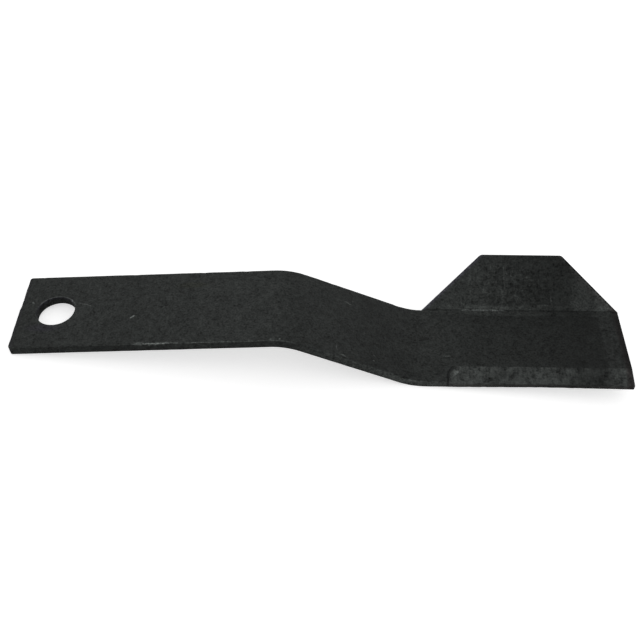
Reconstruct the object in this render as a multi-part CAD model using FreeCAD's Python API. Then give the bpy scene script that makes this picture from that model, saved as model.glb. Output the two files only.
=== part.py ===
import FreeCAD, Part
import math
import os

# Swinging blade of a rotary cutter: one length of flat spring-steel bar, cranked down by two bends,
# with a bolt hole at one end and a ground edge and an upswept lift wing at the other.
# Lengths are in millimetres and angles in degrees. The origin is the bolt hole's centre on the bar's
# top face, X runs towards the tip, Y towards the trailing side and Z up the bolt.

# Flat bar
bar_width = 80.0
bar_thickness = 8.0
rolled_edge_radius = 0.8

# Mounting end
bolt_hole_diameter = 31.5
bolt_hole_to_tail = 30.5
tail_corner_radius = 2.5

# Crank, as flat lengths along the top face and the two bends between them
bolt_hole_to_bend = 178.0
drop_angle = 28.0
slope_length = 87.5
return_angle = 24.5
bend_inside_radius = 48.0
tip_length = 169.0

# Lift wing: a tapered tab of the same plate, folded up along the trailing side of the tip
wing_angle = 33.5
wing_height = 50.0
wing_top_start = 51.5
wing_top_end = 122.0
wing_corner_radius = 1.5
fold_inside_radius = 1.5

# Ground edge along the leading side of the tip
bevel_width = 16.0
edge_land = 4.6
bevel_start = 18.0
bevel_run_out_radius = 12.0

# How far a cutting tool reaches past the faces it cuts, and a joined piece into its neighbour
tool_overrun = 6.0
joint_overlap = 12.0

ORIGIN = FreeCAD.Vector(0, 0, 0)
ALONG = FreeCAD.Vector(1, 0, 0)
ACROSS = FreeCAD.Vector(0, 1, 0)
UP = FreeCAD.Vector(0, 0, 1)
leading_side = -bar_width / 2
trailing_side = bar_width / 2


def rounded_face(corners, radius):
    """Flat face through the corner points; each corner is rounded by the radius given for it."""
    edges = []
    joints = []
    count = len(corners)
    for i in range(count):
        corner = corners[i]
        back = (corners[i - 1] - corner).normalize()
        ahead = (corners[(i + 1) % count] - corner).normalize()
        if radius[i] == 0:
            joints.append((corner, corner, None))
            continue
        half = back.getAngle(ahead) / 2
        reach = radius[i] / math.tan(half)
        bisector = (back + ahead).normalize()
        middle = corner + bisector * (radius[i] / math.sin(half) - radius[i])
        joints.append((corner + back * reach, corner + ahead * reach, middle))
    for i in range(count):
        start, end, middle = joints[i]
        if middle is not None:
            edges.append(Part.Arc(start, middle, end).toShape())
        following = joints[(i + 1) % count][0]
        edges.append(Part.makeLine(end, following))
    return Part.Face(Part.Wire(edges))


def forward(distance):
    """Step along a straight run of the bar."""
    return FreeCAD.Placement(ALONG * distance, FreeCAD.Rotation())


def around_bend(angle):
    """Step round one bend on the top face; a positive angle turns the bar down."""
    return FreeCAD.Placement(ORIGIN, FreeCAD.Rotation(ACROSS, angle), bend_centre(angle))


def bend_centre(angle):
    """Centre of a bend, seen from where it starts on the top face."""
    if angle > 0:
        return UP * -(bend_inside_radius + bar_thickness)
    return UP * bend_inside_radius


tail_end = forward(-bolt_hole_to_tail)
first_bend = forward(bolt_hole_to_bend)
slope_start = first_bend.multiply(around_bend(drop_angle))
second_bend = slope_start.multiply(forward(slope_length))
tip_start = second_bend.multiply(around_bend(-return_angle))


def bar_section():
    """Cross-section of the rolled bar, hanging below the top face."""
    corners = [
        FreeCAD.Vector(0, leading_side, 0),
        FreeCAD.Vector(0, trailing_side, 0),
        FreeCAD.Vector(0, trailing_side, -bar_thickness),
        FreeCAD.Vector(0, leading_side, -bar_thickness),
    ]
    return rounded_face(corners, [rolled_edge_radius] * len(corners))


def straight_run(station, length):
    """Straight length of bar that starts at a station."""
    run = bar_section().extrude(ALONG * length)
    run.Placement = station
    return run


def bent_run(station, angle):
    """Length of bar that is bent by an angle, from a station onwards."""
    run = bar_section().revolve(bend_centre(angle), ACROSS, angle)
    run.Placement = station
    return run


def cranked_bar():
    """Whole bar from the tail to the tip, with both bends."""
    runs = [
        straight_run(tail_end, bolt_hole_to_tail + bolt_hole_to_bend),
        bent_run(first_bend, drop_angle),
        straight_run(slope_start, slope_length),
        bent_run(second_bend, -return_angle),
        straight_run(tip_start, tip_length),
    ]
    return runs[0].fuse(runs[1:]).removeSplitter()


def tail_outline():
    """Upright block that leaves the tail with its two rounded corners."""
    level = -(bar_thickness + tool_overrun)
    far_along = bolt_hole_to_bend
    corners = [
        FreeCAD.Vector(-bolt_hole_to_tail, leading_side, level),
        FreeCAD.Vector(-bolt_hole_to_tail, trailing_side, level),
        FreeCAD.Vector(far_along, trailing_side, level),
        FreeCAD.Vector(far_along, leading_side, level),
    ]
    radii = [tail_corner_radius, tail_corner_radius, 0, 0]
    height = bar_thickness + 2 * tool_overrun
    return rounded_face(corners, radii).extrude(UP * height)


def tail_waste():
    """Metal outside the two rounded tail corners."""
    block = Part.makeBox(
        tool_overrun + bolt_hole_to_tail,
        bar_width + 2 * tool_overrun,
        bar_thickness + 2 * tool_overrun,
        FreeCAD.Vector(
            -(bolt_hole_to_tail + tool_overrun),
            leading_side - tool_overrun,
            -(bar_thickness + tool_overrun),
        ),
    )
    return block.cut(tail_outline())


def bolt_hole():
    """Drill for the hole the blade swings on."""
    depth = bar_thickness + 2 * tool_overrun
    return Part.makeCylinder(bolt_hole_diameter / 2, depth, UP * -(bar_thickness + tool_overrun))


# Cross-section of the folded tab, in the tip's own frame: the crease lies on the top face along the
# trailing side, and both faces of the plate turn about one centre above it.
slant = math.radians(wing_angle)
WING_RISE = FreeCAD.Vector(0, math.cos(slant), math.sin(slant))
WING_FACE = FreeCAD.Vector(0, -math.sin(slant), math.cos(slant))
CREASE = FreeCAD.Vector(0, trailing_side, 0)
fold_centre = FreeCAD.Vector(0, trailing_side - fold_inside_radius * math.tan(slant / 2), fold_inside_radius)


def on_fold(radius, share):
    """Point on an arc about the fold's centre, at a share of the wing's angle."""
    turn = slant * share
    return fold_centre + FreeCAD.Vector(0, math.sin(turn), -math.cos(turn)) * radius


def folded_strip():
    """Plate of full tip length that runs from inside the bar, round the fold and up the wing."""
    outside_radius = fold_inside_radius + bar_thickness
    root = fold_centre - ACROSS * joint_overlap
    top_end = CREASE + WING_RISE * wing_height
    low_end = top_end - WING_FACE * bar_thickness
    half = 1 / 2
    edges = [
        Part.makeLine(root - UP * fold_inside_radius, on_fold(fold_inside_radius, 0)),
        Part.Arc(
            on_fold(fold_inside_radius, 0),
            on_fold(fold_inside_radius, half),
            on_fold(fold_inside_radius, 1),
        ).toShape(),
        Part.makeLine(on_fold(fold_inside_radius, 1), top_end),
        Part.makeLine(top_end, low_end),
        Part.makeLine(low_end, on_fold(outside_radius, 1)),
        Part.Arc(
            on_fold(outside_radius, 1),
            on_fold(outside_radius, half),
            on_fold(outside_radius, 0),
        ).toShape(),
        Part.makeLine(on_fold(outside_radius, 0), root - UP * outside_radius),
        Part.makeLine(root - UP * outside_radius, root - UP * fold_inside_radius),
    ]
    return Part.Face(Part.Wire(edges)).extrude(ALONG * tip_length)


def wing_outline():
    """Block square to the wing's face that trims it to a tapered tab with rounded upper corners."""
    base = CREASE - WING_FACE * (bar_thickness + tool_overrun)
    below = WING_RISE * (joint_overlap + tool_overrun)
    corners = [
        base - below,
        base,
        base + ALONG * wing_top_start + WING_RISE * wing_height,
        base + ALONG * wing_top_end + WING_RISE * wing_height,
        base + ALONG * tip_length,
        base + ALONG * tip_length - below,
    ]
    radii = [0, 0, wing_corner_radius, wing_corner_radius, 0, 0]
    return rounded_face(corners, radii).extrude(WING_FACE * (bar_thickness + 2 * tool_overrun))


def lift_wing():
    """Tapered tab folded up from the trailing side of the tip."""
    wing = folded_strip().common(wing_outline())
    wing.Placement = tip_start
    return wing


def bevel_waste():
    """Metal ground off the leading side of the tip, down to the land that is left as an edge."""
    depth = bar_thickness - edge_land
    beyond = tool_overrun / bevel_width
    inner = leading_side + bevel_width
    outer = leading_side - tool_overrun
    slope_face = Part.makePolygon([
        FreeCAD.Vector(bevel_start, inner, 0),
        FreeCAD.Vector(bevel_start, outer, -depth * (1 + beyond)),
        FreeCAD.Vector(bevel_start, outer, tool_overrun),
        FreeCAD.Vector(bevel_start, inner, tool_overrun),
        FreeCAD.Vector(bevel_start, inner, 0),
    ])
    length = tip_length - bevel_start + tool_overrun
    wedge = Part.Face(slope_face).extrude(ALONG * length)
    floor = -(bar_thickness + tool_overrun)
    corners = [
        FreeCAD.Vector(bevel_start, outer, floor),
        FreeCAD.Vector(bevel_start, inner, floor),
        FreeCAD.Vector(bevel_start + length, inner, floor),
        FreeCAD.Vector(bevel_start + length, outer, floor),
    ]
    outline = rounded_face(corners, [0, bevel_run_out_radius, 0, 0])
    waste = wedge.common(outline.extrude(UP * (bar_thickness + 2 * tool_overrun)))
    waste.Placement = tip_start
    return waste


def blade():
    """The finished blade as one solid."""
    body = cranked_bar().fuse(lift_wing()).removeSplitter()
    body = body.cut([tail_waste(), bolt_hole(), bevel_waste()])
    return body.removeSplitter().Solids[0]


shape = blade()
os.makedirs("parts", exist_ok=True)
shape.exportStep("parts/blade.step")
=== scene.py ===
import math

import bmesh
import bpy
import numpy as np
from mathutils import Matrix, Vector


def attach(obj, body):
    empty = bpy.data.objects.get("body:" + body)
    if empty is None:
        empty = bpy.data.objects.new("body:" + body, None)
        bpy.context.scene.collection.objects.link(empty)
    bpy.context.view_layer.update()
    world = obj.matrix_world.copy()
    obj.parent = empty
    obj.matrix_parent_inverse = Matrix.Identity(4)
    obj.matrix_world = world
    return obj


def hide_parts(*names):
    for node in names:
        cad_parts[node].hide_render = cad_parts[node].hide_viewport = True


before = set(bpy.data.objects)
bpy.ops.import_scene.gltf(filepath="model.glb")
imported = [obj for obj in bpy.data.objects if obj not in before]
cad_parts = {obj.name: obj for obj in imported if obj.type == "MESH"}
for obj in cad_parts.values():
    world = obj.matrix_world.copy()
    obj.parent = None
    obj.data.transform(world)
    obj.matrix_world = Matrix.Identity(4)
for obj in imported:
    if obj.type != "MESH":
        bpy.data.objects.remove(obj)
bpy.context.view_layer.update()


# ---------------------------------------------------------------------------------------------
# The bar
# One length of 80 x 8 mm flat spring steel, rolled with small corner radii, cut to length and
# bent twice while hot, so that the tip runs lower than the end that is bolted up.
# Lengths are in millimetres, as on a shop drawing, and become metres when the mesh is made.

MM = 0.001
bar_width = 80.0
bar_thickness = 8.0
rolled_edge = 0.8
bolt_hole_to_tail = 30.5
bolt_hole_to_bend = 178.0
drop = math.radians(28.0)
slope_length = 87.5
lift_back = math.radians(24.5)
bend_inside = 48.0
bend_outside = bend_inside + bar_thickness
tip_length = 169.0
slope_start = bolt_hole_to_bend + bend_outside * drop
second_bend = slope_start + slope_length
tip_start = second_bend + bend_inside * lift_back
tip_end = tip_start + tip_length
half_width = bar_width / 2


def crank(along):
    """Path of the top face: straight, an arc down, straight, an arc back up, straight.

    Gives x, z and the downward heading at each distance from the bolt hole, by adding up the
    five runs, each clipped to its own length.
    """
    flat = np.minimum(along, bolt_hole_to_bend)
    first = np.clip((along - bolt_hole_to_bend) / bend_outside, 0, drop)
    slope = np.clip(along - slope_start, 0, slope_length)
    second = np.clip((along - second_bend) / bend_inside, 0, lift_back)
    tip = np.clip(along - tip_start, 0, None)
    rest = drop - lift_back
    x = flat + bend_outside * np.sin(first) + slope * math.cos(drop)
    x = x + bend_inside * (math.sin(drop) - np.sin(drop - second)) + tip * math.cos(rest)
    z = bend_outside * (np.cos(first) - 1) - slope * math.sin(drop)
    z = z - bend_inside * (np.cos(drop - second) - math.cos(drop)) - tip * math.sin(rest)
    return x, z, first - second


def bent(along, across, height):
    """Carries points of the flat blank onto the crank: height is measured square to the top face."""
    x, z, heading = crank(along)
    return np.stack([x + np.sin(heading) * height, across, z + np.cos(heading) * height], axis=-1)


def wander(a, b, pitch, seed):
    """Smooth random relief from 0 to 1: random values on a square grid, eased between by s-curves."""
    table = np.random.RandomState(seed).rand(64, 64)
    u, v = a / pitch, b / pitch
    i, j = np.floor(u).astype(int), np.floor(v).astype(int)
    fu, fv = u - i, v - j
    fu, fv = fu * fu * (3 - 2 * fu), fv * fv * (3 - 2 * fv)
    low = table[i % 64, j % 64] * (1 - fu) + table[(i + 1) % 64, j % 64] * fu
    high = table[i % 64, (j + 1) % 64] * (1 - fu) + table[(i + 1) % 64, (j + 1) % 64] * fu
    return low * (1 - fv) + high * fv


def ease(value, low, high):
    """S-curve that goes from 0 at low to 1 at high."""
    t = np.clip((value - low) / (high - low), 0, 1)
    return t * t * (3 - 2 * t)


def spaced(low, high, step):
    """Even steps from low up to, but without, high."""
    return np.linspace(low, high, max(2, int(round((high - low) / step)) + 1))[:-1]


grid_step = 1.4
end_steps = np.array([0.0, 0.1, 0.3, 0.6, 1.0, 1.5, 2.0, 2.5, 3.3, 4.4])
arc_steps = np.sin(np.radians([22.5, 45.0, 67.5]))

# rows across the top face, closer together at the rolled corners
inner_row = half_width - rolled_edge
edge_rows = inner_row - np.array([0.0, 0.35, 0.9, 1.8])
flat_rows = np.concatenate([-edge_rows, spaced(-inner_row + 3, inner_row - 3, grid_step), edge_rows[::-1]])
flat_rows = np.unique(np.round(flat_rows, 4))


# ---------------------------------------------------------------------------------------------
# The ground edge
# A bevel ground along the leading side of the tip by a wheel that was lifted off in a rounded
# run-out; it leaves a land, not a knife edge, and has worn a little hollow along its length.

bevel_width = 16.0
edge_land = 4.6
bevel_start = tip_start + 17.0
run_out_short = 8.5  # along the bar
run_out_tall = 15.5  # across it
run_out_wall = 1.7
edge_wear = 0.7


def bevel_line(along):
    """Where the bevel starts across the bar: its width from the edge, wandering a quarter millimetre."""
    return bevel_width - half_width + 0.5 * (wander(along, 0 * along, 23.0, 5) - 0.5)


def ground_depth(along, across):
    """Metal ground off the top face: a plane that starts at the bevel's line and falls to the edge.

    The plane is eased in over a short wall along the run-out, which curves from square to the
    edge into the bevel's line as a quarter of an ellipse.
    """
    plane = np.clip(bevel_line(along) - across, 0, None) * (bar_thickness - edge_land) / bevel_width
    return plane * ease(inside_run_out(along, across), 0, run_out_wall)


def inside_run_out(along, across):
    """How far a point lies inside the wheel's run-out, a quarter of an ellipse as tall as the bevel."""
    centre_x = bevel_start + run_out_short
    centre_y = bevel_width - half_width - run_out_tall
    share = np.hypot((centre_x - along) / run_out_short, (across - centre_y) / run_out_tall)
    corner = run_out_short * (1 - share)
    return np.where((along < centre_x) & (across > centre_y), corner, along - bevel_start)


def ground_share(along, across, height):
    """1 where the wheel has cut and 0 elsewhere, with a narrow change between them."""
    beyond_line = ease(bevel_line(along) - across, -0.3, 0.3)
    return beyond_line * ease(inside_run_out(along, across), 0, 0.4 * run_out_wall) * (height > -0.9)


# ---------------------------------------------------------------------------------------------
# The skin of the bar
# The rolled section carried along the crank. The tail is sheared square with its corners eased,
# the edges hold small nicks, and mill scale leaves a faint relief on both faces.

tail_corner = 2.5
end_round = 0.5
stations = np.concatenate([
    end_steps - bolt_hole_to_tail,
    spaced(5.5 - bolt_hole_to_tail, bolt_hole_to_bend, grid_step),
    spaced(bolt_hole_to_bend, slope_start, grid_step),
    spaced(slope_start, second_bend, grid_step),
    spaced(second_bend, tip_start, grid_step),
    spaced(tip_start, bevel_start - 2, grid_step),
    spaced(bevel_start - 2, bevel_start + 10, 0.5),
    spaced(bevel_start + 10, tip_start + 51.5, 1.1),
    spaced(tip_start + 51.5, tip_start + 122.0, grid_step),
    spaced(tip_start + 122.0, tip_end - 4, grid_step),
    tip_end - end_steps[end_steps < 3.5][::-1],
])
bevel_row = bevel_width - half_width
rows = np.unique(np.concatenate([
    flat_rows[np.abs(flat_rows - bevel_row) > 0.8], bevel_row + np.array([-0.7, -0.25, 0.25, 0.7])
]))
face_heights = -np.linspace(rolled_edge, bar_thickness - rolled_edge, 6)


def section():
    """Closed outline of the rolled bar, as (across, height) pairs, from the top's near row onwards."""
    reach = rolled_edge * arc_steps
    back = rolled_edge * arc_steps[::-1]
    floor = -bar_thickness
    across = np.concatenate([
        rows, inner_row + reach, np.full(6, half_width), inner_row + back,
        rows[::-1], -inner_row - reach, np.full(6, -half_width), -inner_row - back,
    ])
    height = np.concatenate([
        0 * rows, back - rolled_edge, face_heights, floor + rolled_edge - reach,
        0 * rows + floor, floor + rolled_edge - back, face_heights[::-1], reach - rolled_edge,
    ])
    return across, height


def nicks(along, seed, count, low, high):
    """Depth of small dents along an edge: a sum of bell curves at seeded places."""
    draw = np.random.RandomState(seed)
    places = draw.uniform(low, high, count)
    widths = draw.uniform(0.8, 2.6, count)
    depths = draw.uniform(0.1, 0.45, count)
    shape = np.exp(-(((along[..., None] - places) / widths) ** 2))
    return np.minimum((shape * depths).sum(-1), 0.5)


def scale_relief(along, across):
    """Faint relief that mill scale leaves: coarse and fine wander, added."""
    coarse = wander(along + 200, across + 200, 11.0, 1)
    return 0.05 * coarse + 0.035 * wander(along + 200, across + 200, 3.3, 2)


def worn(along, across, height):
    """Works the true blank over: grinds the bevel, eases the ends and adds nicks and relief.

    Everything moves inwards, so the worn blade stays inside the drawn one.
    """
    from_tail = along + bolt_hole_to_tail
    from_tip = tip_end - along
    # eased ends, as quarter circles in plan and in thickness
    into_corner = np.clip(tail_corner - from_tail, 0, None)
    corner = tail_corner - np.sqrt(np.clip(tail_corner**2 - into_corner**2, 0, None))
    near_end = np.clip(end_round - np.minimum(from_tail, from_tip), 0, end_round)
    eased = end_round - np.sqrt(end_round**2 - near_end**2)
    across = across * (half_width - corner - eased) / half_width
    height = height * (1 - 2 * eased / bar_thickness) - eased
    # ground edge: its corner is sharper than the rolled one
    keen = ease(along, bevel_start - 1, bevel_start + 3)
    from_edge = across + half_width
    tight = 1 - 0.6 * keen
    near = np.clip(from_edge / 3, 0, 1)
    across = np.where(from_edge < 3, from_edge * (tight + (1 - tight) * near) - half_width, across)
    height = np.where((from_edge < rolled_edge) & (height > -rolled_edge), height * tight, height)
    depth = ground_depth(along, across)
    height = height - depth * (1 + height / bar_thickness)
    # wear and nicks on the leading and trailing sides
    lead = np.clip(1 - (across + half_width) / 4, 0, 1) ** 2
    trail = np.clip(1 - (half_width - across) / 3, 0, 1) ** 2
    trail = trail * (along < tip_start - 4)
    along_edge = np.clip((along - bevel_start) / (tip_end - bevel_start), 0, 1)
    hollow = edge_wear * np.sin(math.pi * along_edge) ** 2
    rub = hollow * np.clip(1 - (across + half_width) / bevel_width, 0, 1)
    upper = np.clip(1 + height / 5, 0, 1)
    dents = upper * nicks(along, 3, 17, -20, 300)
    across = across + lead * (0.12 * wander(along, 0 * along, 6.0, 9) + dents) + rub
    across = across + lead * keen * 0.25 * wander(along, 0 * along, 2.1, 21)
    dents = upper * nicks(along, 4, 11, -20, 300)
    across = across - trail * (0.15 * wander(along, 0 * along, 7.0, 11) + dents)
    middle = np.clip(2 * height / bar_thickness + 1, -1, 1)
    height = height - scale_relief(along, across) * middle
    # sheared tail: one part of the cut stands a little back from the other
    step = 0.55 * ease(across, 2, 6) + 0.2 * wander(across + 90, 0 * across, 4.0, 15)
    along = along + step * np.clip(1 - from_tail / 6, 0, 1)
    return along, across, height


section_across, section_height = section()
row_count = len(rows)
far_top, far_low = row_count - 1, row_count + 12
along_grid, across_grid = np.meshgrid(stations, section_across, indexing="ij")
height_grid = np.broadcast_to(section_height, along_grid.shape)
bar_points = bent(*worn(along_grid, across_grid, height_grid))
bar_blank = np.stack([along_grid, across_grid, height_grid], axis=-1)
bar_index = np.arange(along_grid.size).reshape(along_grid.shape)


# ---------------------------------------------------------------------------------------------
# The bolt hole
# A punched and reamed round hole in the middle of the tail. The punch leaves the rim slightly
# dished, with a lip of pushed-up metal round its far side.

bolt_hole_radius = 15.75
window = 25.0
first_station = int(np.argmin(np.abs(stations + window)))
last_station = int(np.argmin(np.abs(stations - window)))
first_row = int(np.argmin(np.abs(rows + window)))
last_row = int(np.argmin(np.abs(rows - window)))


def window_loop():
    """The square of grid points round the hole, once round, as (along, across)."""
    a = stations[first_station:last_station + 1]
    b = rows[first_row:last_row + 1]
    along = np.concatenate([0 * b[:-1] + a[0], a[:-1], 0 * b[:0:-1] + a[-1], a[:0:-1]])
    across = np.concatenate([b[:-1], 0 * a[:-1] + b[-1], b[:0:-1], 0 * a[:0:-1] + b[0]])
    return along, across


def hole_rings():
    """Rings from the square to the rim, down the wall and out again below.

    Outside the rim a ring is a blend between the square and a circle; the top ones dip towards
    the rim and rise again in a thin lip on the far side.
    """
    along, across = window_loop()
    angle = np.arctan2(across, along)
    blend = np.array([0.0, 0.14, 0.29, 0.45, 0.62, 0.8, 1.0])
    out = np.array([4.0] * 7 + [3.0, 2.2, 1.5, 1.05, 0.7, 0.45, 0.25, 0.08, 0.0])
    blend = np.concatenate([blend, np.ones(9)])
    radius = bolt_hole_radius + out
    ring_a = np.outer(1 - blend, along) + np.outer(blend * radius, np.cos(angle))
    ring_b = np.outer(1 - blend, across) + np.outer(blend * radius, np.sin(angle))
    far_side = np.exp(-(((angle - math.radians(80)) / 0.95) ** 2))
    dish = 0.3 * ease(-out, -4.0, -0.9)
    lip = 0.3 * ease(-out, -0.95, -0.55)
    roll = 0.6 * ease(-out, -0.5, 0.05)
    top = -np.outer(dish + roll, 0.35 + 0.65 * far_side) + np.outer(lip, far_side)
    low = -bar_thickness + 0.45 * ease(-out, -0.5, 0.05)
    wall = np.array([-1.2, -2.4, -4.0, -5.6, -7.0])
    ring_a = np.concatenate([ring_a, np.repeat(ring_a[-1:], 5, axis=0), ring_a[::-1]])
    ring_b = np.concatenate([ring_b, np.repeat(ring_b[-1:], 5, axis=0), ring_b[::-1]])
    flat = np.ones(len(along))
    height = np.concatenate([top, np.outer(wall, flat), np.outer(low[::-1], flat)])
    return ring_a, ring_b, height


ring_along, ring_across, ring_height = hole_rings()
hole_points = bent(*worn(ring_along, ring_across, ring_height))
hole_blank = np.stack([ring_along, ring_across, ring_height], axis=-1)
hole_index = np.arange(ring_along.size).reshape(ring_along.shape)


# ---------------------------------------------------------------------------------------------
# The lift wing
# A tapered tab of the same plate, cut with the blank and folded up hot along the trailing side
# of the tip, so that the turning blade throws air and cuttings upwards.

wing_angle = math.radians(33.5)
wing_height = 50.0
wing_top_start = 51.5
wing_top_end = 122.0
fold_inside = 1.5
wing_edge = 0.55
wing_corner = 1.5
fold_touch = fold_inside * math.tan(wing_angle / 2)


def wing_reach(along):
    """Height of the tab at each station: two straight flanks and a level top, eased at the corners."""
    x = along - tip_start
    up = x * wing_height / wing_top_start
    down = (tip_length - x) * wing_height / (tip_length - wing_top_end)
    low = np.minimum(up, down)
    gap = np.clip(1 - np.abs(low - wing_height) / wing_corner, 0, 1)
    return np.clip(np.minimum(low, wing_height) - gap**2 * wing_corner / 4, 0, None)


def folded(rise, depth_side):
    """Point of the tip's cross-section at a rise along the wing, on its top (0) or underside (1).

    Beyond the fold it lies on the wing's straight face, within it on an arc about the fold's
    centre, and before it on the flat of the bar.
    """
    radius = fold_inside + bar_thickness * depth_side
    turn = wing_angle + np.arcsin(np.clip((rise - fold_touch) / radius, -math.sin(wing_angle), 0))
    centre_y, centre_z = half_width - fold_touch, fold_inside
    arc_y, arc_z = centre_y + radius * np.sin(turn), centre_z - radius * np.cos(turn)
    beyond = np.clip(rise - fold_touch, 0, None)
    before = np.clip(fold_touch - radius * math.sin(wing_angle) - rise, 0, None) / math.cos(wing_angle)
    return arc_y + beyond * math.cos(wing_angle) - before, arc_z + beyond * math.sin(wing_angle)


def wing_rows(along):
    """Rows over the tab at each station: up its top face, round its edge and down its underside.

    A row on a face is a share of the tab's height there, so the rows close up where the flanks
    come down; the edge is a short wall between two quarter rounds.
    """
    reach = wing_reach(along)[:, None]
    edge = np.minimum(wing_edge, reach / 3)
    ones = np.ones_like(reach)
    close = np.array([0.2, fold_touch, 1.0])
    even = np.linspace(0, 1, 35)[2:]
    climb = np.concatenate([np.minimum(close, reach * close / 12), even * (reach - edge)], axis=1)
    climb = np.sort(climb, axis=1)
    flat_part = (half_width - inner_row) * math.cos(wing_angle)
    low_touch = fold_touch - (fold_inside + bar_thickness) * math.sin(wing_angle)
    start_top = np.array([-flat_part, -0.3, 0.0])
    start_low = np.concatenate([[low_touch - flat_part], np.linspace(low_touch, 0, 8)])
    rise_top = np.concatenate([ones * start_top, climb], axis=1)
    rise_low = np.concatenate([ones * start_low, climb], axis=1)[:, ::-1]
    turn = np.radians([30.0, 60.0])
    depth = np.concatenate([
        edge * (1 - np.cos(turn)),
        edge + np.linspace(0, 1, 6) * (bar_thickness - 2 * edge),
        bar_thickness - edge * (1 - np.cos(turn[::-1])),
    ], axis=1)
    back = edge * (1 - np.sin(turn))
    back = np.concatenate([back, ones * np.zeros(6), back[:, ::-1]], axis=1)
    rise_rim = reach - back
    relief = scale_relief(along[:, None], half_width + rise_top) * np.clip(rise_top, 0, 1)
    fade = scale_relief(along[:, None] + 60, half_width + rise_low) * np.clip(rise_low, 0, 1)
    y_top, z_top = folded(rise_top, 0)
    y_low, z_low = folded(rise_low, 1)
    y_top, z_top = y_top + relief * math.sin(wing_angle), z_top - relief * math.cos(wing_angle)
    y_low, z_low = y_low - fade * math.sin(wing_angle), z_low + fade * math.cos(wing_angle)
    y_rim = half_width + rise_rim * math.cos(wing_angle) + depth * math.sin(wing_angle)
    z_rim = rise_rim * math.sin(wing_angle) - depth * math.cos(wing_angle)
    across = np.concatenate([y_top, y_rim, y_low], axis=1)
    height = np.concatenate([z_top, z_rim, z_low], axis=1)
    blank = half_width + np.concatenate([rise_top, rise_rim, rise_low], axis=1)
    under = np.concatenate([0 * rise_top, -depth, 0 * rise_low - bar_thickness], axis=1)
    return across, height, blank, under


wing_first = int(np.argmin(np.abs(stations - tip_start)))
wing_stations = stations[wing_first:]
wing_across, wing_up, wing_blank_across, wing_blank_under = wing_rows(wing_stations)
wing_along = np.broadcast_to(wing_stations[:, None], wing_across.shape)
near_tip = np.clip(end_round - (tip_end - wing_along), 0, end_round)
tip_round = end_round - np.sqrt(end_round**2 - near_tip**2)
wing_points = bent(wing_along, wing_across - tip_round, wing_up)
wing_points[:, 0] = bar_points[wing_first:, far_top]
wing_points[:, -1] = bar_points[wing_first:, far_low]
wing_blank = np.stack([wing_along, wing_blank_across, wing_blank_under], axis=-1)
wing_index = np.arange(wing_across.size).reshape(wing_across.shape)


# ---------------------------------------------------------------------------------------------
# The blade in one piece
# Bar, hole and wing are one plate of steel, with no weld between them, so their skins are joined
# into one closed surface.


def quads(index, keep=None):
    """Four-cornered faces between neighbours of a grid of vertex numbers."""
    faces = np.stack([index[:-1, :-1], index[1:, :-1], index[1:, 1:], index[:-1, 1:]], axis=-1)
    return faces.reshape(-1, 4) if keep is None else faces[keep]


def closed(index):
    """The same grid with its first column added again at the end, for a surface that goes round."""
    return np.concatenate([index, index[:, :1]], axis=1)


def join_skins():
    """Faces of the whole blade: bar without the hole's square and the wing's strip, then the rest."""
    tube = closed(bar_index)
    keep = np.ones((tube.shape[0] - 1, tube.shape[1] - 1), bool)
    keep[first_station:last_station, first_row:last_row] = False
    low_first = far_low + row_count - 1 - last_row
    keep[first_station:last_station, low_first:low_first + last_row - first_row] = False
    keep[wing_first:, far_top:far_low] = False
    hole = closed(hole_index) + bar_index.size
    wing = wing_index + bar_index.size + hole_index.size
    faces = quads(tube, keep).tolist() + quads(hole).tolist() + quads(wing).tolist()
    faces.append(bar_index[0].tolist())
    faces.append(bar_index[-1, far_low:].tolist() + bar_index[-1, :far_top].tolist() + wing[-1].tolist())
    strip = bar_index[wing_first, far_top + 1:far_low]
    faces.append(wing[0].tolist() + strip[::-1].tolist())
    return faces


def make_blade():
    """Puts the joined skins into a mesh, merges the shared rows and closes what the flanks leave."""
    points = np.concatenate([part.reshape(-1, 3) for part in (bar_points, hole_points, wing_points)])
    blank = np.concatenate([part.reshape(-1, 3) for part in (bar_blank, hole_blank, wing_blank)])
    mesh = bpy.data.meshes.new("cutter_blade")
    mesh.from_pydata((points * MM).tolist(), [], join_skins())
    place = mesh.attributes.new("blank", "FLOAT_VECTOR", "POINT")
    place.data.foreach_set("vector", (blank * MM).astype(np.float32).ravel())
    freshly = mesh.attributes.new("ground", "FLOAT", "POINT")
    freshly.data.foreach_set("value", ground_share(*blank.T).astype(np.float32))
    wheel_end = mesh.attributes.new("run_out", "FLOAT", "POINT")
    wheel_end.data.foreach_set("value", inside_run_out(*blank[:, :2].T).astype(np.float32))
    work = bmesh.new()
    work.from_mesh(mesh)
    bmesh.ops.delete(work, geom=[v for v in work.verts if not v.link_faces], context="VERTS")
    bmesh.ops.remove_doubles(work, verts=work.verts, dist=0.004 * MM)
    bmesh.ops.dissolve_degenerate(work, edges=work.edges, dist=0.004 * MM)
    bmesh.ops.recalc_face_normals(work, faces=work.faces)
    work.to_mesh(mesh)
    work.free()
    mesh.polygons.foreach_set("use_smooth", np.ones(len(mesh.polygons), bool))
    mesh.set_sharp_from_angle(angle=math.radians(38))
    return mesh


blade = bpy.data.objects.new("cutter_blade", make_blade())
bpy.context.scene.collection.objects.link(blade)
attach(blade, "root")
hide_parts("blade")


# ---------------------------------------------------------------------------------------------
# The blade's finish
# Spring steel as it leaves the quench and the oil: a dark grey-green scale, mottled, rubbed
# bright on its edges and scored where blades lay on each other; the bevel is ground metal that
# has dulled again. Light and shade are painted in too: highlights along the rolled edges and the
# fold, and shade along the wheel's run-out, the edges of the leading face, the crease and the bolt hole's
# wall.


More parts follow.
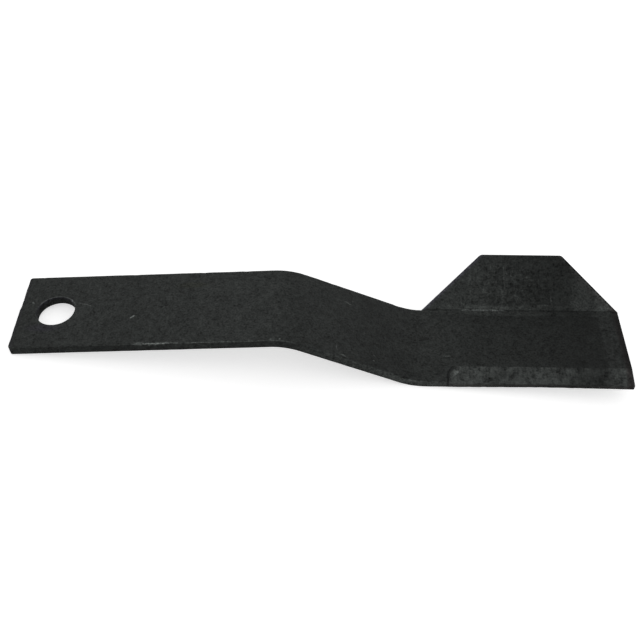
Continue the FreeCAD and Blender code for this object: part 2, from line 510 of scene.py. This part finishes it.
class Wire:
    """A value that runs through a finish: + - * / add Math nodes and node() adds any other."""

    def __init__(self, tree, socket=None):
        self.tree = tree
        self.socket = socket

    def node(self, kind, settings=None, inputs=None, out=0):
        """Adds a node of a kind: its settings first, then values or wires for its inputs."""
        made = self.tree.nodes.new(kind)
        for name, value in (settings or {}).items():
            if name == "stops":
                set_stops(made.color_ramp, value)
            else:
                setattr(made, name, value)
        for name, value in (inputs or {}).items():
            if isinstance(value, Wire):
                self.tree.links.new(value.socket, made.inputs[name])
            else:
                made.inputs[name].default_value = value
        return Wire(self.tree, made.outputs[out])

    def math(self, operation, first, second):
        return self.node("ShaderNodeMath", {"operation": operation}, {0: first, 1: second})

    def __add__(self, other):
        return self.math("ADD", self, other)

    def __sub__(self, other):
        return self.math("SUBTRACT", self, other)

    def __rsub__(self, other):
        return self.math("SUBTRACT", other, self)

    def __mul__(self, other):
        return self.math("MULTIPLY", self, other)

    def __truediv__(self, other):
        return self.math("DIVIDE", self, other)

    __radd__ = __add__
    __rmul__ = __mul__

    def step(self, low, high, start=0.0, end=1.0):
        """S-curve from start at low to end at high."""
        return self.node(
            "ShaderNodeMapRange", {"interpolation_type": "SMOOTHSTEP"},
            {"Value": self, "From Min": low, "From Max": high, "To Min": start, "To Max": end},
        )

    def band(self, low, high, soft):
        """1 between low and high, with soft sides."""
        return self.step(low - soft, low) * self.step(high, high + soft, 1.0, 0.0)

    def grain(self, scale, detail=2.0, roughness=0.5, distortion=0.0, stretch=None, turn=0.0):
        """Noise from 0 to 1 on this position; stretch and turn draw it out along one way."""
        where = self
        if stretch:
            drawn_out = {"Vector": self, "Rotation": (0, 0, turn), "Scale": stretch}
            where = self.node("ShaderNodeMapping", {}, drawn_out)
        look = {"Scale": scale, "Detail": detail, "Roughness": roughness, "Distortion": distortion}
        return self.node("ShaderNodeTexNoise", {}, {"Vector": where, **look})


def set_stops(ramp, stops):
    """Gives a colour ramp its stops, as (place, grey) pairs."""
    while len(ramp.elements) > 2:
        ramp.elements.remove(ramp.elements[0])
    for element, (place, grey) in zip(ramp.elements, (stops[0], stops[-1])):
        element.position = place
        element.color = (grey, grey, grey, 1)
    for place, grey in stops[1:-1]:
        ramp.elements.new(place).color = (grey, grey, grey, 1)


def along_bar(along, pairs):
    """Piecewise straight curve along the blank, from (millimetres from the bolt hole, value) pairs."""
    total = tip_end + bolt_hole_to_tail
    stops = [((place + bolt_hole_to_tail) / total, value / 2) for place, value in pairs]
    share = (along + bolt_hole_to_tail) / total
    return share.node("ShaderNodeValToRGB", {"stops": stops}, {"Fac": share}) * 2.0


def stroke(spot, along, across, long, wide, angle=0.0):
    """An uneven spindle-shaped mark on the top skin: 1 in its middle and 0 at its edge."""
    moved = spot.node(
        "ShaderNodeMapping", {"vector_type": "TEXTURE"},
        {
            "Vector": spot,
            "Location": (along * MM, across * MM, 0),
            "Rotation": (0, 0, math.radians(angle)),
            "Scale": (long * MM, wide * MM, 3 * MM),
        },
    )
    far = moved.node("ShaderNodeVectorMath", {"operation": "LENGTH"}, {0: moved}, out="Value")
    return far.step(0.35, 1.0, 1.0, 0.0)


def mixed(share, first, second):
    """The first value where the share is 0, the second where it is 1."""
    return share.node("ShaderNodeMix", {}, {0: share, 2: first, 3: second})


def inside_flank(from_corner, run):
    """Millimetres inside a flank of the wing, which climbs the wing's height over this run."""
    slant = math.hypot(wing_height, run)
    return from_corner * (wing_height / slant) - (across - half_width) * (run / slant)


steel = bpy.data.materials.new("scaled_steel")
steel.use_nodes = True
tree = steel.node_tree
shader = tree.nodes["Principled BSDF"]
start = Wire(tree)
spot = start.node("ShaderNodeAttribute", {"attribute_name": "blank"}, out="Vector")
ground = start.node("ShaderNodeAttribute", {"attribute_name": "ground"}, out="Fac")
run_out = start.node("ShaderNodeAttribute", {"attribute_name": "run_out"}, out="Fac")
parts = spot.node("ShaderNodeSeparateXYZ", {}, {0: spot})

# places in millimetres: along the blank, across it, and below its top face as a minus
along, across, under = (Wire(tree, socket) / MM for socket in parts.socket.node.outputs)
flat_spot = spot.node("ShaderNodeVectorMath", {"operation": "MULTIPLY"}, {0: spot, 1: (1, 1, 0)})

# a slightly stirred position, so that no mark has a clean outline
stir = spot.node("ShaderNodeTexNoise", {}, {"Vector": spot, "Scale": 420.0, "Detail": 2.0}, out="Color")
stir = stir.node("ShaderNodeVectorMath", {"operation": "SUBTRACT"}, {0: stir, 1: (0.5, 0.5, 0.5)})
reach = (2.2 * MM, 2.2 * MM, 0)
stirred = stir.node("ShaderNodeVectorMath", {"operation": "MULTIPLY_ADD"}, {0: stir, 1: reach, 2: spot})

# which skin a point lies on
wing_skin = across.step(half_width, half_width + 0.5)
lead_face = across.step(0.35 - half_width, 0.05 - half_width) * under.band(-7.6, -0.5, 0.3)

# how dark the colour is along the bar, on its top, its wing and its leading face; the leading face is made
# much paler from the first bend to the tip
top_tone = along_bar(along, [
    (-30.5, 0.85), (30, 0.92), (60, 0.86), (90, 0.9), (150, 0.97), (178, 0.95), (200, 0.77), (225, 0.81),
    (250, 0.71), (270, 0.64), (285, 0.69), (300, 0.71), (315, 0.84), (330, 0.83), (345, 0.79),
    (360, 0.69), (380, 0.68), (400, 0.62), (420, 0.57), (440, 0.47), (482, 0.45),
])
wing_tone = along_bar(along, [
    (313, 1.0), (335, 1.05), (350, 1.03), (380, 0.88), (395, 0.78), (410, 0.64), (440, 0.58), (452, 0.8),
    (482, 0.85),
])
lead_tone = along_bar(along, [
    (-30.5, 1.0), (0, 0.82), (20, 0.87), (50, 0.7), (80, 0.85), (120, 0.95), (150, 0.9), (178, 0.8),
    (190, 0.74), (205, 1.0), (220, 1.3), (240, 1.6), (260, 1.45), (290, 1.75), (300, 2.0), (320, 1.75),
    (331, 1.75),
    (335, 1.9), (345, 1.85), (360, 1.5), (380, 1.1), (400, 1.15), (430, 0.85), (460, 0.95), (482, 0.8),
])
tone = mixed(lead_face, mixed(wing_skin, top_tone, wing_tone), lead_tone)

# mottled scale, coarse to fine
mottle = spot.grain(70.0, 3.0, 0.6) - 0.5
blotch = spot.grain(240.0, 2.0, 0.6, 0.4) - 0.5
speck = spot.grain(620.0, 2.0, 0.7) - 0.5
scale_tone = 1.0 + 0.9 * mottle + 1.9 * blotch + 2.9 * speck

# the bevel: bright grinding streaks across it, dulled towards the tip
streak = spot.grain(260.0, 3.0, 0.6, 0.5, stretch=(1.3, 0.42, 1.0), turn=math.radians(14)) - 0.5
patchy = spot.grain(150.0, 2.0, 0.6, 0.6) - 0.5
bevel_tone = along_bar(along, [
    (331, 1.75), (355, 1.65), (365, 1.36), (380, 1.26), (395, 1.55), (410, 1.42), (425, 1.3), (440, 0.85),
    (455, 0.72), (470, 1.0), (482, 0.95),
])
bevel_tone = bevel_tone * 0.93 * (1.0 + 1.9 * streak + 2.2 * patchy + 2.2 * speck)
tone = mixed(ground, tone * scale_tone, bevel_tone)

# painted shade: a dark band along the wheel's run-out, where its short wall faces away from the light, and
# dark lines along the upper edge of the leading face before the bevel and along the top of the strip left
# below the bevel
run_out_shade = run_out.band(-0.5, 1.0, 0.5) * along.step(bevel_start + 9, bevel_start + 6)
run_out_shade = run_out_shade * across.step(bevel_row + 0.5, bevel_row - 1.5)
strip_edge_shade = lead_face * under.band(-4.0, -3.4, 0.3) * along.step(bevel_start, bevel_start + 2)
strip_edge_shade = strip_edge_shade + lead_face * under.step(-1.2, -0.6) * along.band(288, bevel_start, 6)
tone = tone * (1.0 - 0.55 * run_out_shade) * (1.0 - 0.4 * strip_edge_shade)
# painted shade: a dark line along the lower edge of the leading face
tone = tone * (1.0 - 0.4 * lead_face * under.step(-6.3, -7.2))

# pits and old hammer marks on the wing
cells = stirred.node("ShaderNodeTexVoronoi", {}, {"Vector": stirred, "Scale": 190.0}, out="Distance")
pit = cells.step(0.45, 0.15)
field = stroke(flat_spot, 390, 62, 44, 30) * wing_skin * 1.2
rough = stirred.grain(330.0, 2.0, 0.7, 0.8) - 0.5
tone = tone * (1.0 - 0.32 * pit * field) * (1.0 + field * (cells.step(0.72, 0.95) * 0.4 + 1.6 * rough))

# the wing's flanks: a pale blue-grey rim on the rising one, a dark and a pale line on the other
left_in = inside_flank(along - tip_start, wing_top_start)
right_in = inside_flank(tip_end - along, tip_length - wing_top_end)
left_rim = left_in.step(3.4, 1.2) * wing_skin
tone = tone * (1.0 + 0.45 * left_rim) * (1.0 - 0.5 * right_in.band(-1, 1.0, 0.4) * wing_skin)
tone = tone * (1.0 + 0.35 * right_in.band(1.6, 2.6, 0.5) * wing_skin)
tone = tone * (1.0 + 0.3 * stroke(flat_spot, 450, 55, 16, 16) * wing_skin)

# the cut end of the tip: paler scale a little way in, a dark rust-tinged rim at the edge
end_in = tip_end - along
tone = tone * (1.0 + 0.45 * end_in.band(7, 17, 4) * (1.0 + 2.0 * blotch))
tone = tone * (1.0 - 0.25 * end_in.step(5, 2.5))

# rubbed lines and scores: (along, across, half length, half width, angle, brightness)
scores = [
    (65, -9.8, 3.1, 1.05, 42, 5.5), (23.5, 6.2, 9.5, 0.75, -19, 1.4), (11.4, 10.8, 2.6, 0.8, 98, 3.6),
    (-20.5, 9.5, 1.9, 1.3, 130, 2.6), (92.8, 12.4, 4.2, 0.6, 4, 1.0), (93.5, 9.3, 3.4, 0.5, -3, 0.8),
    (84.0, 5.8, 3.2, 0.6, 0, 0.7), (90.0, 0.5, 1.6, 0.6, 90, 0.5),
    (74.5, -38.0, 5.5, 0.8, 3, 2.0), (88.0, -39.3, 22.0, 0.9, 1, 3.4),
    (132.0, -38.6, 5.0, 0.5, 1, 1.4), (184.2, -10.0, 3.8, 0.6, 2, 0.9), (190.5, -2.0, 7.0, 0.5, 84, 0.5),
    (244.2, 22.8, 4.6, 0.9, -16, 1.5), (248.6, 27.5, 5.0, 0.55, 84, 0.9), (234.3, -30.3, 3.9, 0.55, 92, 1.9),
    (240.0, -37.2, 4.6, 0.8, -7, 2.2), (267.4, -26.8, 1.3, 1.0, 0, 1.4), (267.2, -32.4, 1.4, 1.1, 0, 1.8),
    (331.3, -13.0, 5.4, 0.9, 1, 1.3), (338.0, -30.0, 3.4, 2.0, 52, 2.3), (179.0, -38.4, 1.2, 0.8, 0, 2.0),
    (186.0, -38.2, 1.2, 0.8, 0, 3.0), (355.4, 66.0, 20.0, 2.2, 91, 0.4), (385.0, 70.0, 17.0, 0.8, 91, 0.7),
    (361.5, 64.0, 17.0, 0.9, 91, 0.25),
    (425.3, 49.5, 5.8, 0.9, 90, 0.9), (418.5, 44.9, 8.0, 0.8, 0, 0.8), (349.0, 46.0, 3.4, 1.0, -30, 0.9),
    (446.0, 47.0, 6.0, 3.4, 0, 0.45), (405.0, 70.0, 1.4, 1.0, 60, 0.9), (391.0, 71.0, 2.0, 1.0, 100, 0.8),
]
# bright marks, added up: real scores and rubs, with painted highlights along the edges and the fold
rubs_and_highlights = 0.0
for place, side_place, long, wide, angle, bright in scores:
    rubs_and_highlights = stroke(stirred, place, side_place, long, wide, angle) * bright + rubs_and_highlights

# the rolled edges are pale where they were rubbed, partly worn metal and partly a painted highlight along
# the rounded corner, most on the leading side behind the first bend
run = along.node("ShaderNodeCombineXYZ", {}, {0: along * MM})
patches = run.grain(95.0, 3.0, 0.7).step(0.4, 0.62)
lead_edge = across.band(-0.25 - half_width, 0.55 - half_width, 0.25) * under.step(-1.0, -0.4)
lead_wear_and_highlight = along_bar(along, [
    (-30.5, 0.1), (45, 0.25), (70, 1.3), (110, 1.5), (185, 1.2), (200, 0.35), (285, 0.3), (290, 0), (482, 0),
])
rubs_and_highlights = rubs_and_highlights + lead_edge * lead_wear_and_highlight * (0.35 + 1.1 * patches)
lead_rub = stroke(spot, 300, -40, 9, 14) * under.band(-5, -1.2, 0.8)
lead_rub = lead_rub + 0.7 * stroke(spot, 313, -40, 11, 14) * under.band(-4, -1.5, 0.6)
rubs_and_highlights = rubs_and_highlights + lead_face * lead_rub * (0.4 + patches)
far_edge = across.band(half_width - 0.9, half_width + 0.3, 0.2) * along.step(tip_start, tip_start - 2)
rubs_and_highlights = rubs_and_highlights + far_edge * (0.15 + 0.45 * patches)

# the punch left a fine burr on the far side of the hole, rubbed bright in places
rim = spot.node("ShaderNodeVectorMath", {"operation": "LENGTH"}, {0: spot}, out="Value") / MM
burr = rim.band(bolt_hole_radius + 0.25, bolt_hole_radius + 0.8, 0.3) * across.step(3, 9)
rubs_and_highlights = rubs_and_highlights + burr * under.step(-2, -1) * (0.9 + 1.2 * patches)

# the fold: near its start a bright line, partly rubbed metal and partly a painted highlight, then a fine
# dark line of painted shade in the crease, with paler scale to each side
crease = across.band(half_width - 0.1, half_width + 0.75, 0.3) * along.step(314, 318)
fold_rub_and_highlight = along.band(349, 383, 3)
beside = across.band(half_width - 4.5, half_width + 3.5, 2.5)
fold_tone = along_bar(along, [
    (313, 0), (322, 0.1), (345, 0.3), (375, 0.55), (400, 0.5), (420, 0.35), (440, 0.2), (460, 0.45),
    (482, 0.4),
])
drawn = spot.grain(330.0, 2.0, 0.6, 0.3, stretch=(0.35, 1.5, 1.0)) - 0.5
rubs_and_highlights = rubs_and_highlights + crease * fold_rub_and_highlight * (0.7 + patches * 1.5)
tone = tone * (1.0 - 0.45 * crease * (1.0 - fold_rub_and_highlight)) * (1.0 + beside * fold_tone * (1.0 + 4.0 * drawn))
tone = tone + rubs_and_highlights * (0.8 + 3.0 * speck)

# a stain on the far side of the shank, a blue bloom round the hole and on the wing, and a little
# rust at the tip
stain = stroke(stirred, 111, 25, 17, 5) * 0.5
tail_in = along + bolt_hole_to_tail
bloom = stroke(stirred, -6, -19, 19, 6) + 1.2 * left_rim + 0.5 * tail_in.step(4, 1)
bloom = bloom + 1.3 * rim.step(bolt_hole_radius + 0.4, bolt_hole_radius - 0.1)
rust = 0.7 * end_in.step(7, 3) + 0.3 * lead_face * along.step(bevel_start, bevel_start + 3)
rust = rust + 0.25 * right_in.step(9, 3) * wing_skin
# painted shade on the bolt hole's wall; the tail's last few millimetres are made a little darker too
hole_wall_shade = rim.step(bolt_hole_radius + 0.2, bolt_hole_radius - 0.2) * under.step(-0.5, -1.2)
tone = tone * (1.0 - 0.45 * hole_wall_shade) * (1.0 - 0.12 * tail_in.step(5, 2))
tone = tone * (1.0 - 0.25 * stroke(stirred, 118.5, 23.5, 2.6, 1.6))
tone = tone * (1.0 - 0.3 * stroke(stirred, 134, 21.5, 2.4, 1.8))

# each tint, made as dark as the tone says; further tints are laid over the plain scale
full_tone = 0.0315
shade = tone * full_tone
plain = (0.955, 1.035, 0.99)
colour = shade.node("ShaderNodeVectorMath", {"operation": "SCALE"}, {0: plain, "Scale": shade})
mossy, violet, rusty = (0.98, 1.06, 0.8), (1.06, 1.02, 1.28), (1.12, 1.0, 0.98)
for share, tint in ((stain, mossy), (bloom * 0.6, violet), (rust, rusty)):
    over = shade.node("ShaderNodeVectorMath", {"operation": "SCALE"}, {0: tint, "Scale": shade})
    colour = colour.node("ShaderNodeMix", {"data_type": "RGBA"}, {0: share, 6: colour, 7: over}, out=2)
tree.links.new(colour.socket, shader.inputs["Base Color"])

sheen = 0.56 + 0.35 * blotch + 0.25 * speck - 0.1 * ground
tree.links.new(sheen.socket, shader.inputs["Roughness"])
relief = 0.6 * speck + 0.8 * blotch - 0.5 * pit * field + 0.6 * streak * ground
depth = {"Strength": 0.35, "Distance": 0.25 * MM}
bump = relief.node("ShaderNodeBump", {}, {**depth, "Height": relief}, out="Normal")
tree.links.new(bump.socket, shader.inputs["Normal"])
shader.inputs["Metallic"].default_value = 0.55
shader.inputs["Specular IOR Level"].default_value = 0.08
blade.data.materials.append(steel)


# ---------------------------------------------------------------------------------------------
# The ground it lies on
# A plain white board. The blade rests on it along the tail's lower edge and the heel of its
# second bend, so the board is tilted to the line that touches both.

heel_radius = bend_inside + bar_thickness
tail_foot = Vector((-bolt_hole_to_tail, 0, -bar_thickness)) * MM
heel = bent(np.array([second_bend]), np.array([0.0]), np.array([bend_inside]))[0] * MM
to_heel = Vector(heel) - tail_foot
rest_slope = math.atan2(-to_heel.z, to_heel.x) + math.asin(heel_radius * MM / to_heel.length)
board_size = 1.6
board_centre = 0.25  # beyond the tail


def board_mesh():
    """A square sheet, in the plane that touches the tail's lower edge and the heel."""
    u, v = np.meshgrid(np.linspace(-1, 1, 5) * board_size, np.linspace(-1, 1, 5) * board_size, indexing="ij")
    centre = tail_foot.x + board_centre
    x = centre + u * math.cos(rest_slope)
    z = tail_foot.z - (x - tail_foot.x) * math.tan(rest_slope)
    points = np.stack([x, v, z], axis=-1).reshape(-1, 3)
    index = np.arange(u.size).reshape(u.shape)
    mesh = bpy.data.meshes.new("board")
    mesh.from_pydata(points.tolist(), [], quads(index).tolist())
    return mesh


board = bpy.data.objects.new("board", board_mesh())
bpy.context.scene.collection.objects.link(board)
white = bpy.data.materials.new("board_white")
white.use_nodes = True
paint = white.node_tree.nodes["Principled BSDF"]
paint.inputs["Base Color"].default_value = (0.8, 0.8, 0.8, 1)
paint.inputs["Roughness"].default_value = 0.9
paint.inputs["Specular IOR Level"].default_value = 0.0
seen = Wire(white.node_tree)
ray = seen.node("ShaderNodeLightPath", out="Is Camera Ray")
glow = seen.node("ShaderNodeEmission", {}, {"Color": (1, 1, 1, 1), "Strength": ray * 0.6})
lit = seen.node("ShaderNodeAddShader", {}, {0: Wire(white.node_tree, paint.outputs[0]), 1: glow})
gone = seen.node("ShaderNodeBsdfTransparent")
behind = seen.node("ShaderNodeNewGeometry", out="Backfacing")
shown = seen.node("ShaderNodeMixShader", {}, {0: behind, 1: lit, 2: gone})
white.node_tree.links.new(shown.socket, white.node_tree.nodes["Material Output"].inputs["Surface"])
board.data.materials.append(white)


# ---------------------------------------------------------------------------------------------
# Light and camera
# Soft, even white light from all round, as in a photo tent, which looks pure white to the eye and
# in reflections. The camera looks down across the leading edge, from a little to the right.

world = bpy.data.worlds.new("studio")
bpy.context.scene.world = world
world.use_nodes = True
sky = Wire(world.node_tree)
backdrop = world.node_tree.nodes["Background"]
backdrop.inputs["Color"].default_value = (1, 1, 1, 1)
direct = sky.node("ShaderNodeLightPath", out="Is Camera Ray")
mirrored = sky.node("ShaderNodeLightPath", out="Is Glossy Ray")
tent_level = 0.72
strength = tent_level + (1 - tent_level) * direct.math("MAXIMUM", direct, mirrored)
world.node_tree.links.new(strength.socket, backdrop.inputs["Strength"])

azimuth, elevation, roll = math.radians(5.116), math.radians(46.273), math.radians(-5.366)
target = Vector((217.397, -19.326, 0.0)) * MM
distance = 761.274 * MM
focal_share = 962.629 / 640

level = math.cos(elevation)
back = Vector((math.sin(azimuth) * level, -math.cos(azimuth) * level, math.sin(elevation)))
right = (-back).cross(Vector((0, 0, 1))).normalized()
up = right.cross(-back)
side = right * math.cos(roll) + up * math.sin(roll)
top = up * math.cos(roll) - right * math.sin(roll)
view = bpy.data.cameras.new("camera")
view.sensor_width = 36.0
view.lens = 36.0 * focal_share
view.clip_start = 0.01
camera = bpy.data.objects.new("camera", view)
bpy.context.scene.collection.objects.link(camera)
turn = Matrix((side, top, back)).transposed().to_4x4()
camera.matrix_world = Matrix.Translation(target + back * distance) @ turn
bpy.context.scene.camera = camera
bpy.context.scene.view_settings.view_transform = "Standard"
